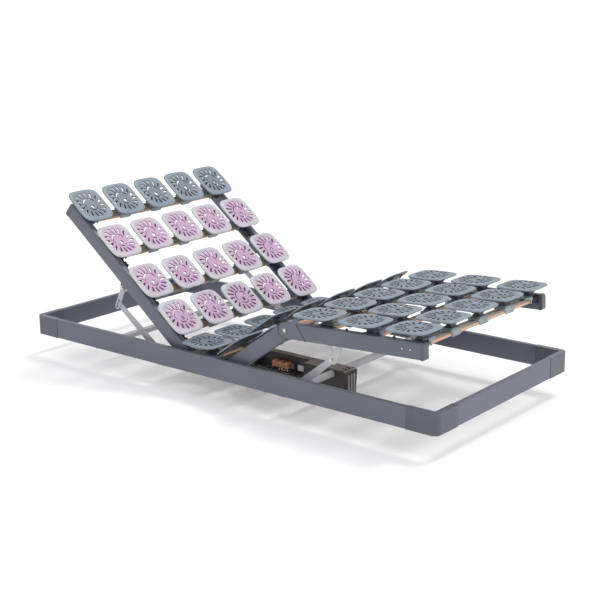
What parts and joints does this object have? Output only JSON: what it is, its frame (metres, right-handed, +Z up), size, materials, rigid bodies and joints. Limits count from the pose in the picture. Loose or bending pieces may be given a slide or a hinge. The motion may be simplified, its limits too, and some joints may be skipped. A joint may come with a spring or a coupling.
{
  "type": "adjustable bed base",
  "caption": "Adjustable bed base with a powered backrest and leg section, spring plates on cross slats and a twin drive below a fixed frame.",
  "frame": {"origin": "under the middle of the base frame, at the height of the drive's underside", "axes": "+X along the bed towards the foot end, +Y across the bed, +Z up"},
  "size_m": [2, 0.9, 0.7093],
  "materials": {
    "painted_frame": "satin slate grey powder coat",
    "frame_plastic": "satin moulded slate grey plastic",
    "plain_steel": "light silver-grey coated steel",
    "machined_steel": "turned bare steel",
    "grey_plate": "satin blue-grey moulded plastic",
    "pink_plate": "satin lilac-pink plastic with a light grey rim",
    "beech": "clear-lacquered laminated beech",
    "dark_housing": "fine-textured dark brown-black plastic",
    "connector": "orange-brown plastic"
  },
  "bodies": {
    "base": {"side_rail_near": "painted_frame", "side_rail_far": "painted_frame", "head_rail": "painted_frame", "foot_rail": "painted_frame", "corner_head_near": "frame_plastic", "corner_head_far": "frame_plastic", "corner_foot_near": "frame_plastic", "corner_foot_far": "frame_plastic", "head_cross_member": "plain_steel", "seat_rail_near": "painted_frame", "seat_rail_far": "painted_frame", "seat_slat": "beech", "seat_plates": "grey_plate", "head_bearing_near": "plain_steel", "head_bearing_far": "plain_steel", "foot_bearing_near": "plain_steel", "foot_bearing_far": "plain_steel", "drive_housing": "dark_housing", "drive_bottom_cover": "dark_housing", "shaft_cover_head": "dark_housing", "shaft_cover_foot": "dark_housing", "head_motor": "machined_steel", "foot_motor": "machined_steel", "connector_block": "connector"},
    "backrest": {"backrest_rail_near": "painted_frame", "backrest_rail_far": "painted_frame", "backrest_cap_near": "frame_plastic", "backrest_cap_far": "frame_plastic", "backrest_slat_1": "beech", "backrest_slat_2": "beech", "backrest_slat_3": "beech", "backrest_slat_4": "beech", "backrest_plates_1": "grey_plate", "backrest_plates_2": "pink_plate", "backrest_plates_3": "pink_plate", "backrest_plates_4": "pink_plate"},
    "thigh": {"thigh_rail_near": "painted_frame", "thigh_rail_far": "painted_frame", "thigh_slat_1": "beech", "thigh_slat_2": "beech", "thigh_plates_1": "grey_plate", "thigh_plates_2": "grey_plate"},
    "calf": {"calf_rail_near": "painted_frame", "calf_rail_far": "painted_frame", "knee_fitting_near": "painted_frame", "knee_fitting_far": "painted_frame", "calf_cap_near": "frame_plastic", "calf_cap_far": "frame_plastic", "calf_slat_1": "beech", "calf_slat_2": "beech", "calf_slat_3": "beech", "calf_plates_1": "grey_plate", "calf_plates_2": "grey_plate", "calf_plates_3": "grey_plate"},
    "head_shaft": {"head_shaft": "plain_steel"},
    "foot_shaft": {"foot_shaft": "plain_steel"},
    "head_links": {"head_link_near": "plain_steel", "head_link_far": "plain_steel"},
    "head_push": {"head_push_block": "machined_steel"},
    "foot_push": {"foot_push_block": "machined_steel"}
  },
  "joints": [
    {"name": "backrest_hinge", "type": "hinge", "parent": "base", "child": "backrest", "pos_m": [-0.1614, 0, 0.152], "axis": [0, 1, 0], "range_deg": [-38.4, 6.6]},
    {"name": "thigh_hinge", "type": "hinge", "parent": "base", "child": "thigh", "pos_m": [0.037, 0, 0.152], "axis": [0, -1, 0], "range_deg": [-35.5, 5]},
    {"name": "knee_hinge", "type": "hinge", "parent": "thigh", "child": "calf", "pos_m": [0.32006, 0, 0.32688], "axis": [0, -1, 0], "range_deg": [-4.6, 32.6]},
    {"name": "head_shaft_turn", "type": "hinge", "parent": "base", "child": "head_shaft", "pos_m": [-0.32, 0, 0.09], "axis": [0, 1, 0], "range_deg": [-48, 8.3]},
    {"name": "foot_shaft_turn", "type": "hinge", "parent": "base", "child": "foot_shaft", "pos_m": [0.336, 0, 0.101], "axis": [0, -1, 0], "range_deg": [-55.1, 7.8]},
    {"name": "head_link_turn", "type": "hinge", "parent": "backrest", "child": "head_links", "pos_m": [-0.536, 0, 0.34555], "axis": [0, 1, 0], "range_deg": [-10.8, 62.4]},
    {"name": "head_push_slide", "type": "slide", "parent": "base", "child": "head_push", "axis": [-1, 0, 0], "range_m": [-0.0445, 0.0077]},
    {"name": "foot_push_slide", "type": "slide", "parent": "base", "child": "foot_push", "axis": [1, 0, 0], "range_m": [-0.0512, 0.0075]}
  ],
  "couplings": [
    {"joint": "knee_hinge", "follows": "thigh_hinge", "ratio": -0.918},
    {"joint": "foot_shaft_turn", "follows": "thigh_hinge", "ratio": 1.55},
    {"joint": "foot_push_slide", "follows": "thigh_hinge", "m_per_rad": 0.082},
    {"joint": "head_shaft_turn", "follows": "backrest_hinge", "ratio": 1.248},
    {"joint": "head_link_turn", "follows": "backrest_hinge", "ratio": -1.623},
    {"joint": "head_push_slide", "follows": "backrest_hinge", "m_per_rad": 0.0657}
  ]
}
